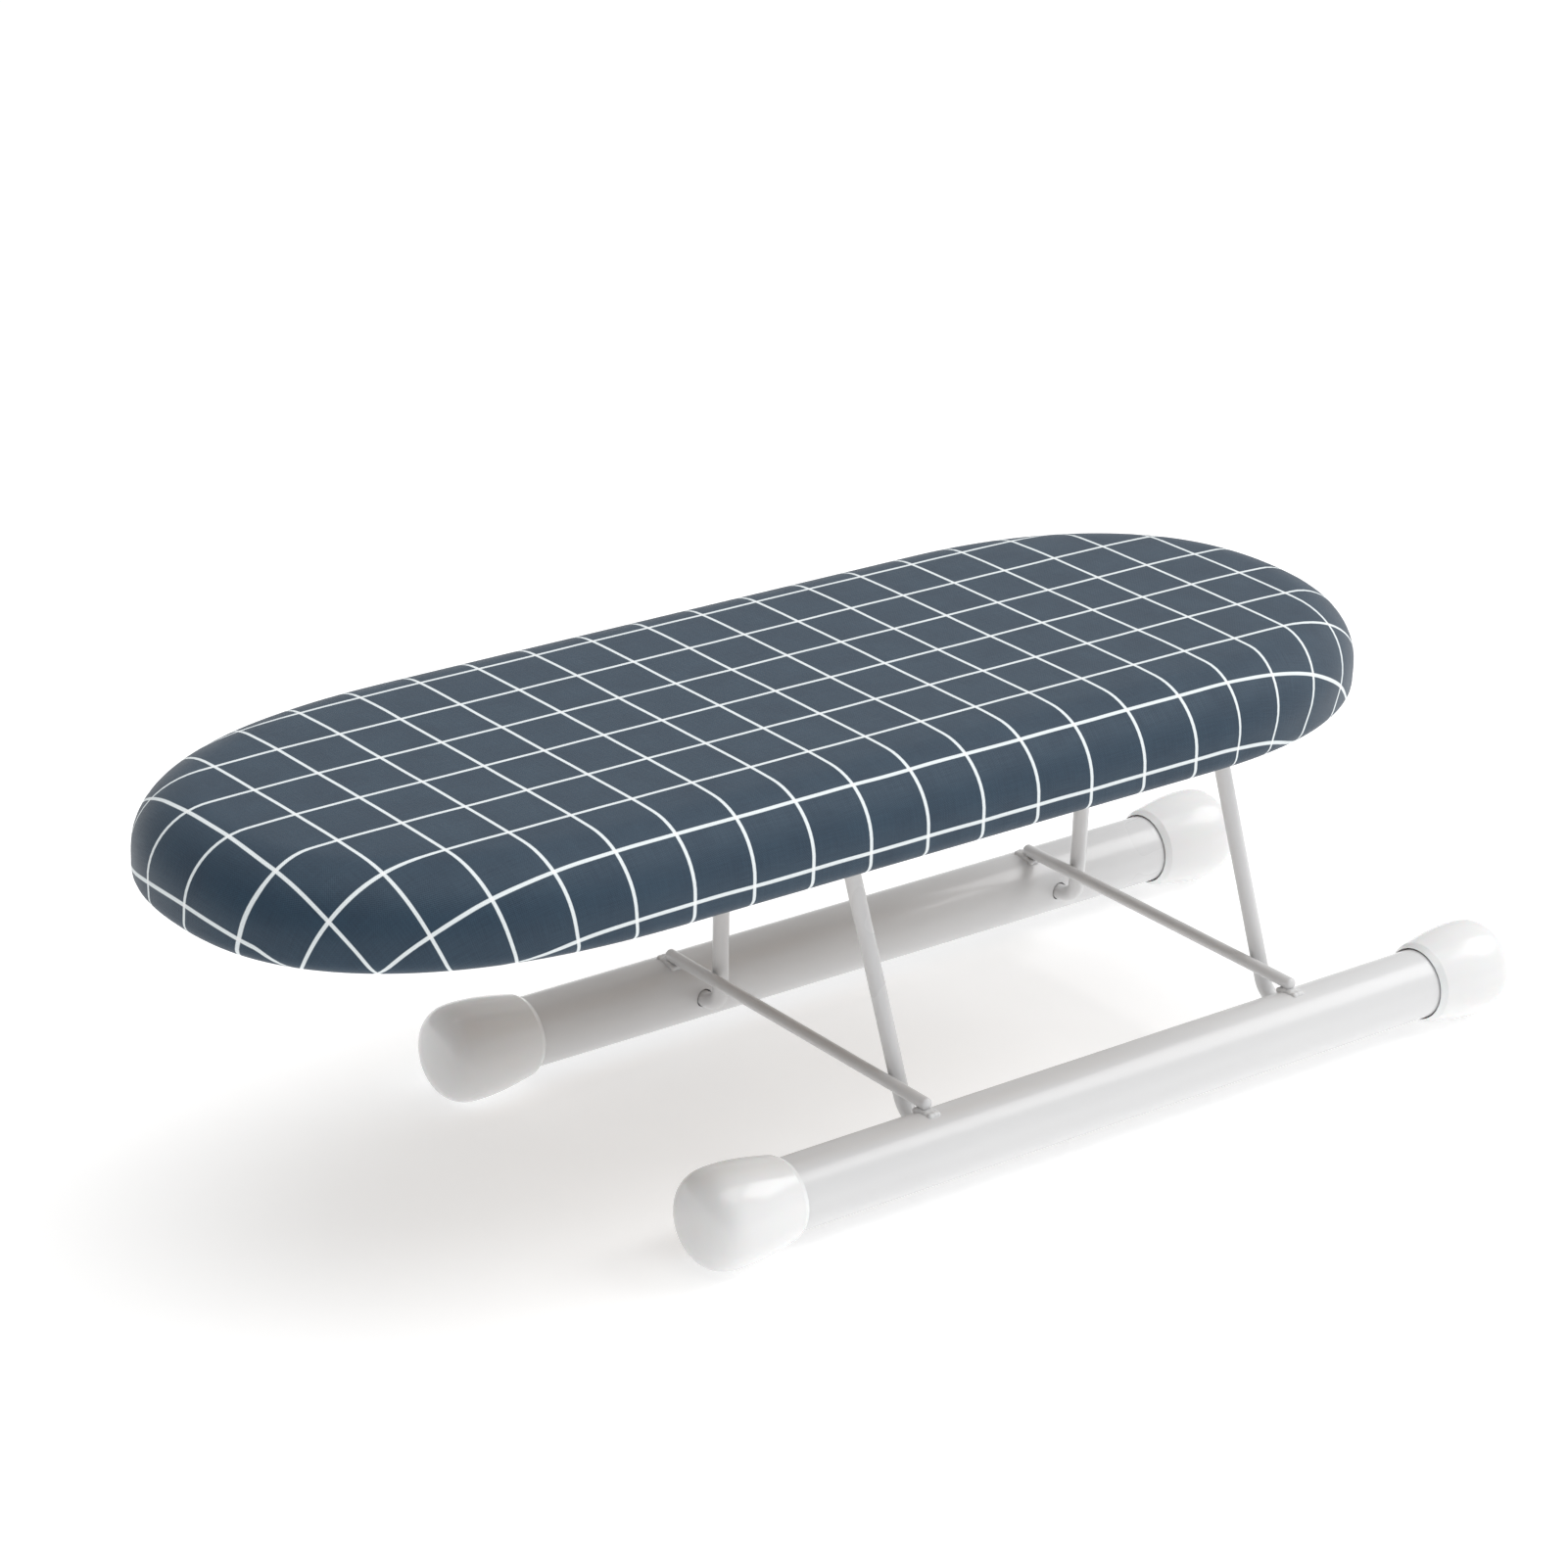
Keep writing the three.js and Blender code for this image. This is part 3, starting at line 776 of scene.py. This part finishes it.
def make_stitches():
    """A zigzag of white thread that joins the hem's edge and the elastic."""
    zigs, per_leg = 256, 4
    thread_radius = 0.2 * MM
    bite, reach = 1.4 * MM, 3.2 * MM                      # its reach into the cloth, and in all
    over_cloth, over_elastic = HEM_FOLD + 0.1 * MM, 0.48 * MM
    arch = 0.25 * MM                                      # how far a stitch stands up between its ends
    total = zigs * 2 * per_leg
    at = np.arange(total) * AROUND / total
    low = np.floor(at).astype(int)
    part = (at - low)[:, None]
    p = board_p[low % AROUND] * (1 - part) + board_p[(low + 1) % AROUND] * part
    n = board_n[low % AROUND] * (1 - part) + board_n[(low + 1) % AROUND] * part
    n /= np.linalg.norm(n, axis=1, keepdims=True)
    wave = PLEAT[low % AROUND] * (1 - part[:, 0]) + PLEAT[(low + 1) % AROUND] * part[:, 0]
    phase = (np.arange(total) % (2 * per_leg)) / per_leg
    side = np.where(phase < 1, phase, 2 - phase)          # 0 on the cloth, 1 on the elastic
    inset = HEM - bite + reach * side
    lift = np.sin(np.pi * side) * arch
    on_cloth = inset < HEM + 0.1 * MM
    depth = THICKNESS + np.where(on_cloth, over_cloth, over_elastic) + lift
    flat = p - n * inset[:, None]
    drop = wave * PLEAT_DEPTH * np.where(on_cloth, 1.0, 0.78)
    line = np.column_stack([flat, BOARD_TOP - depth - drop])
    obj = sweep("hem_stitches", line, thread_radius, thread, sides=6, closed=True)
    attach(obj, "board")
    return obj


cover, cover_flat, cover_area = make_cover()
pad = make_pad()
edging = make_elastic()
stitches = make_stitches()
panel = frame["nodes"]["board_panel"]
panel.data.materials.clear()
panel.data.materials.append(fibreboard)


# ---------------------------------------------------------------- hinge clips and screws
def make_clip(name):
    """A zinc strap bent over a leg's crossbar, with a screw hole in each ear."""
    low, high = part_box(name)
    x, y = (low.x + high.x) / 2, (low.y + high.y) / 2
    seat = high.z
    inner = LEG_RADIUS + GAP
    outer = inner + CLIP_METAL
    reach = outer + CLIP_EAR
    bend_in, bend_out = 1.1 * MM, 1.4 * MM
    screw_hole = 1.85 * MM

    def arc(radius, start, end):
        return [(radius * math.cos(a), -inner + radius * math.sin(a))
                for a in np.linspace(start, end, 25)]

    side = [(-reach, 0)]
    side += fillet((-reach, -CLIP_METAL), (-outer, -CLIP_METAL), (-outer, -inner), bend_in)
    side += arc(outer, math.pi, 2 * math.pi)[1:]
    side += fillet((outer, -inner), (outer, -CLIP_METAL), (reach, -CLIP_METAL), bend_in)[1:]
    side += fillet((reach, 0), (inner, 0), (inner, -inner), bend_out)
    side += arc(inner, 2 * math.pi, math.pi)[1:]
    side += fillet((-inner, -inner), (-inner, 0), (-reach, 0), bend_out)[1:-1]
    half = (high.y - low.y) / 2
    count = len(side)
    points = [(x + a, y + edge, seat + b) for edge in (-half, half) for a, b in side]
    faces = ring_faces(2, count) + [tuple(range(count)), tuple(range(count, 2 * count))]
    obj = add_mesh(name + "_strap", points, faces, zinc, 30)
    bevel = obj.modifiers.new("bevel", "BEVEL")
    bevel.width = 0.22 * MM
    bevel.segments = 3
    bevel.limit_method = "ANGLE"
    bevel.angle_limit = math.radians(50)
    apply_modifiers(obj)
    tools = []
    for way in (-1, 1):
        at = (x + way * (outer + CLIP_EAR / 2), y, seat - 3 * MM)
        tools.append(drill(at, (0, 0, 1), screw_hole, 6 * MM, zinc, 32))
    subtract(obj, *tools)
    soften(obj, 30)
    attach(obj, "board")
    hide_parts(name)


def make_screw(name):
    """A pan-head screw, head down, with a cross recess."""
    low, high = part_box(name)
    x, y = (low.x + high.x) / 2, (low.y + high.y) / 2
    head, height = 3.2 * MM, 2.1 * MM
    shank, tip = 1.5 * MM, 2.4 * MM
    recess_reach, recess_half, recess_depth = 1.75 * MM, 0.42 * MM, 1.05 * MM
    start = 1 * MM                                        # the tools start this far below the head
    length = high.z - low.z
    profile = [(0, 0)]
    for a in np.linspace(0.25, math.pi / 2, 10):
        profile.append((head * math.sin(a) ** 0.85, height * 0.82 * (1 - math.cos(a))))
    profile += [(head, height * 0.94), (head * 0.97, height), (shank, height)]
    profile += [(shank, length - tip), (0, length)]
    obj = lathe(name + "_pan_head", profile, (x, y, low.z), (0, 0, 1), zinc, 40)
    tools = []
    for turn in (0.5, 0.5 + math.pi / 2):
        across = Vector((math.cos(turn), math.sin(turn), 0)) * recess_reach
        side = Vector((-math.sin(turn), math.cos(turn), 0)) * recess_half
        foot = Vector((x, y, low.z - start))
        rim = [foot + across + side, foot - across + side, foot - across - side, foot + across - side]
        centre = Vector((x, y, low.z + recess_depth))
        inner = [centre + (corner - foot) * 0.45 for corner in rim]
        faces = ring_faces(2, 4) + [(0, 1, 2, 3), (4, 5, 6, 7)]
        tools.append(add_mesh("tool", rim + inner, faces, zinc))
    subtract(obj, *tools)
    soften(obj, 35)
    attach(obj, "board")
    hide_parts(name)


for side_name in SIDES:
    for end_name in ENDS:
        clip_name = f"{side_name}_{end_name}_hinge_clip"
        make_clip(clip_name)
        for which in ("inner", "outer"):
            make_screw(f"{clip_name}_{which}_screw")


# ---------------------------------------------------------------- wire legs
def bent(corners, radii, step=0.6 * MM):
    """Points along a flat line whose corners are true arcs."""
    corners = [np.array(c, float) for c in corners]
    points = [corners[0]]
    for k in range(1, len(corners) - 1):
        at = corners[k]
        into = (at - corners[k - 1]) / np.linalg.norm(at - corners[k - 1])
        out = (corners[k + 1] - at) / np.linalg.norm(corners[k + 1] - at)
        turn = math.acos(np.clip(into @ out, -1, 1))
        setback = radii[k] * math.tan(turn / 2)
        side = out - into * (out @ into)
        side /= np.linalg.norm(side)
        first = at - into * setback
        centre = first + side * radii[k]
        for a in np.linspace(0, turn, max(8, int(radii[k] * turn / step))):
            points.append(centre - side * radii[k] * math.cos(a) + into * radii[k] * math.sin(a))
    points.append(corners[-1])
    return points


def make_leg(side_name):
    """One wire: a crossbar under the board, two splayed legs, and ends turned out into the tubes."""
    pin = SIDES[side_name]
    low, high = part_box(f"{side_name}_leg_wire")
    length = (high.z - LEG_RADIUS - pin.z) / math.cos(LEG_LEAN)
    foot, head = LEG_FOOT_HALF, LEG_HEAD_HALF
    corners = [(low.y, 0), (-foot, 0), (-head, length), (head, length), (foot, 0), (high.y, 0)]
    line = bent(corners, [0, LEG_FOOT_BEND, LEG_HEAD_BEND, LEG_HEAD_BEND, LEG_FOOT_BEND, 0])
    along = Vector((-math.sin(LEG_LEAN), 0, math.cos(LEG_LEAN)))
    face = Vector((math.cos(LEG_LEAN), 0, math.sin(LEG_LEAN)))
    path = [pin + Vector((0, y, 0)) + along * h for y, h in line]
    obj = sweep(f"{side_name}_leg_frame_wire", path, LEG_RADIUS, powder_coat, sides=32, up=face)
    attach(obj, f"{side_name}_leg_frame")
    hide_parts(f"{side_name}_leg_wire")


# ---------------------------------------------------------------- base: tubes, rods, welds and caps
def make_tube(end_name):
    """A hollow tube with two pin holes in its inner side, and the smooth shading of a true cylinder."""
    node = f"{end_name}_foot_tube"
    low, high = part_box(node)
    axis = middle(node)
    inner = TUBE_RADIUS - TUBE_WALL
    length = high.x - low.x
    stations = np.linspace(0, length, 61)                 # short faces shade evenly round the holes
    profile = [(TUBE_RADIUS, h) for h in stations] + [(inner, h) for h in stations[::-1]]
    obj = lathe(node + "_skin", profile, (low.x, axis.y, axis.z), (1, 0, 0), powder_coat, 128)
    inward = (0, -ENDS[end_name], 0)
    subtract(obj, *[drill((pin.x, axis.y, axis.z), inward, PIN_HOLE_RADIUS, 16 * MM, powder_coat, 48)
                    for pin in SIDES.values()])
    mesh = obj.data
    centre = np.array(axis)
    normals = np.zeros((len(mesh.loops), 3))
    for face in mesh.polygons:
        face.use_smooth = True
        flat = np.array(face.normal)
        for loop in face.loop_indices:
            at = np.array(mesh.vertices[mesh.loops[loop].vertex_index].co)
            spoke = (at - centre) * (0, 1, 1)
            spoke /= max(np.linalg.norm(spoke), 1e-9)
            facing = spoke @ flat
            on_the_wall = abs(facing) > 0.93
            normals[loop] = spoke * np.sign(facing) if on_the_wall else flat
    mesh.normals_split_custom_set([tuple(v) for v in normals])
    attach(obj, "base_frame")
    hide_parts(node)


def make_rod(side_name):
    """A straight rod with rounded ends, and a weld bead where each end lies on its tube."""
    node = f"{side_name}_cross_rod"
    low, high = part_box(node)
    axis = middle(node)
    radius = (high.z - low.z) / 2
    length = high.y - low.y
    dome = 1.5 * MM
    ends = [(radius * math.sin(a), dome * (1 - math.cos(a))) for a in np.linspace(0, math.pi / 2, 8)]
    profile = ends + [(r, length - h) for r, h in reversed(ends)]
    obj = lathe(node + "_bar", profile, (axis.x, low.y, axis.z), (0, 1, 0), powder_coat, 40)
    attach(obj, "base_frame")
    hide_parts(node)
    for end_name, end in ENDS.items():
        make_weld(f"{side_name}_{end_name}_weld", axis.x, end, axis.z, radius)


def make_weld(name, x, end, rod_height, rod_radius):
    """A bead that fills the wedge between a rod and its tube's round top, on both sides of the rod."""
    tube = middle("front_foot_tube" if end < 0 else "rear_foot_tube")
    random = np.random.default_rng(sum(name.encode()))
    spread, sink = 1.55 * MM, 0.25 * MM
    work = bmesh.new()
    for way in (-1, 0, 1):
        for inward in np.arange(-1.6, 7.4, 1.0):          # in mm from the tube's crown
            across = inward * MM
            surface = math.sqrt(TUBE_RADIUS ** 2 - across ** 2)
            below = rod_height - rod_radius - (tube.z + surface)
            size = (1.25 + 0.2 * math.sin(2.2 * inward) + random.uniform(-0.1, 0.1)) * MM
            size *= 1.0 - 0.28 * max(0.0, inward - 4.5) / 2.8     # the bead thins out at its inner end
            spot = Vector((x + way * spread, tube.y - end * across,
                           tube.z + surface + max(sink, below * 0.5) - abs(way) * sink))
            bmesh.ops.create_icosphere(work, subdivisions=2, radius=size,
                                       matrix=Matrix.Translation(spot))
    mesh = bpy.data.meshes.new(name)
    work.to_mesh(mesh)
    work.free()
    mesh.materials.append(powder_coat)
    obj = bpy.data.objects.new(name, mesh)
    scene.collection.objects.link(obj)
    remesh = obj.modifiers.new("remesh", "REMESH")
    remesh.mode = "VOXEL"
    remesh.voxel_size = 0.32 * MM
    smooth = obj.modifiers.new("smooth", "SMOOTH")
    smooth.factor = 0.6
    smooth.iterations = 6
    apply_modifiers(obj)
    soften(obj, 80)
    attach(obj, "base_frame")


def make_cap(side_name, end_name):
    """A blunt plastic foot: a short bevelled lip, a slow flare and a domed end."""
    node = f"{side_name}_{end_name}_end_cap"
    low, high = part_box(node)
    axis = middle(node)
    length = high.x - low.x
    widest, widest_at = (high.z - low.z) / 2, 25 * MM
    lip, lip_at = 15.15 * MM, 2.4 * MM
    mouth, socket, depth = 13.75 * MM, TUBE_RADIUS + GAP, 26 * MM
    counterbore, counterbore_depth = 13.6 * MM, 2.5 * MM
    power = 2.8
    profile = [(0, length)]
    dome_steps, flare_steps = 32, 20
    for k in range(1, dome_steps + 1):
        a = math.pi / 2 * (1 - k / dome_steps)
        profile.append((widest * math.cos(a) ** (2 / power),
                        widest_at + (length - widest_at) * math.sin(a) ** (2 / power)))
    for k in range(1, flare_steps + 1):
        t = k / flare_steps
        profile.append((lip + (widest - lip) * math.cos(t * math.pi / 2),
                        widest_at + (lip_at - widest_at) * t))
    profile += [(mouth, 0), (counterbore, 0), (counterbore, counterbore_depth)]
    profile += [(socket, counterbore_depth), (socket, depth), (0, depth)]
    way = -1 if side_name == "left" else 1
    start = high.x if way < 0 else low.x
    obj = lathe(node + "_foot", profile, (start, axis.y, axis.z), (way, 0, 0), plastic, 128, angle=15)
    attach(obj, "base_frame")
    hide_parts(node)


for side_name in SIDES:
    make_leg(side_name)
    make_rod(side_name)
    for end_name in ENDS:
        make_cap(side_name, end_name)
for end_name in ENDS:
    make_tube(end_name)


# ---------------------------------------------------------------- floor, light and camera
def make_floor():
    """A wide pale floor that glows a little, so that it renders as white as the photograph's ground."""
    g = Graph("pale_floor", **{"Roughness": 0.9, "IOR": 1.3, "Emission Color": (1, 1, 1, 1),
                               "Emission Strength": 0.42})
    patches = g.noise(g.place(), scale=3.0)
    g.set("Base Color", g.mix(patches, rgb(232, 232, 232), rgb(236, 236, 236)))
    half = 30.0
    level = -0.1 * MM
    points = [(-half, -half, level), (half, -half, level), (half, half, level), (-half, half, level)]
    floor = add_mesh("floor", points, [(0, 1, 2, 3)], g.material)
    if floor.data.polygons[0].normal.z < 0:
        floor.data.flip_normals()
    # Seen from below, the floor is clear, so that the underside of the object shows.
    clear = g.add("ShaderNodeBsdfTransparent").outputs["BSDF"]
    below = g.add("ShaderNodeNewGeometry").outputs["Backfacing"]
    sides = g.add("ShaderNodeMixShader", {0: below, 1: g.shader.outputs["BSDF"], 2: clear})
    g.put(g.output.inputs["Surface"], sides.outputs[0])


def make_light(name, place, target, size, power):
    """A rectangular soft light that faces a target."""
    light = bpy.data.lights.new(name, "AREA")
    light.shape = "RECTANGLE"
    light.size, light.size_y = size
    light.energy = power
    obj = bpy.data.objects.new(name, light)
    scene.collection.objects.link(obj)
    obj.location = place
    obj.rotation_mode = "QUATERNION"
    obj.rotation_quaternion = (Vector(target) - Vector(place)).to_track_quat("-Z", "Y")


def make_surroundings():
    """A white studio, brighter to the right, with a key light on that side and a wide light above."""
    world = bpy.data.worlds.new("studio")
    world.use_nodes = True
    tree = world.node_tree
    back = tree.nodes["Background"]
    back.inputs["Color"].default_value = (1.0, 1.0, 1.0, 1.0)
    direction = tree.nodes.new("ShaderNodeTexCoord").outputs["Generated"]
    towards = tree.nodes.new("ShaderNodeVectorMath")
    towards.operation = "DOT_PRODUCT"
    towards.inputs[1].default_value = (0.9, -0.15, 0.1)    # the bright side of the studio
    fade = tree.nodes.new("ShaderNodeMapRange")
    for key, value in (("From Min", -0.9), ("From Max", 0.9), ("To Min", 0.16), ("To Max", 0.86)):
        fade.inputs[key].default_value = value
    tree.links.new(direction, towards.inputs[0])
    tree.links.new(towards.outputs["Value"], fade.inputs["Value"])
    tree.links.new(fade.outputs["Result"], back.inputs["Strength"])
    scene.world = world
    target = (0.0, 0.0, 0.08)
    make_light("key", (1.9, -0.75, 1.9), target, (1.6, 1.2), 19)
    make_light("top", (-0.2, -0.35, 2.2), target, (2.4, 2.0), 24)
    scene.view_settings.view_transform = "Standard"


def make_camera():
    """The photograph's view: yaw and pitch of the optical axis, then a small roll."""
    place = (-0.95264, -1.14264, 0.74736)
    yaw, pitch, roll = math.radians(39.22), math.radians(22.75), math.radians(2.32)
    level = math.cos(pitch)
    ahead = Vector((math.sin(yaw) * level, math.cos(yaw) * level, -math.sin(pitch)))
    right = Vector((math.cos(yaw), -math.sin(yaw), 0))
    up = right.cross(ahead)
    right, up = (right * math.cos(roll) + up * math.sin(roll),
                 up * math.cos(roll) - right * math.sin(roll))
    camera = bpy.data.cameras.new("camera")
    camera.sensor_width = 36       # in mm, as the lens is
    camera.lens = 106.74
    camera.clip_start, camera.clip_end = 0.05, 100
    obj = bpy.data.objects.new("camera", camera)
    scene.collection.objects.link(obj)
    turned = Matrix((right, up, -ahead)).transposed().to_4x4()
    obj.matrix_world = Matrix.Translation(place) @ turned
    scene.camera = obj


make_floor()
make_surroundings()
make_camera()
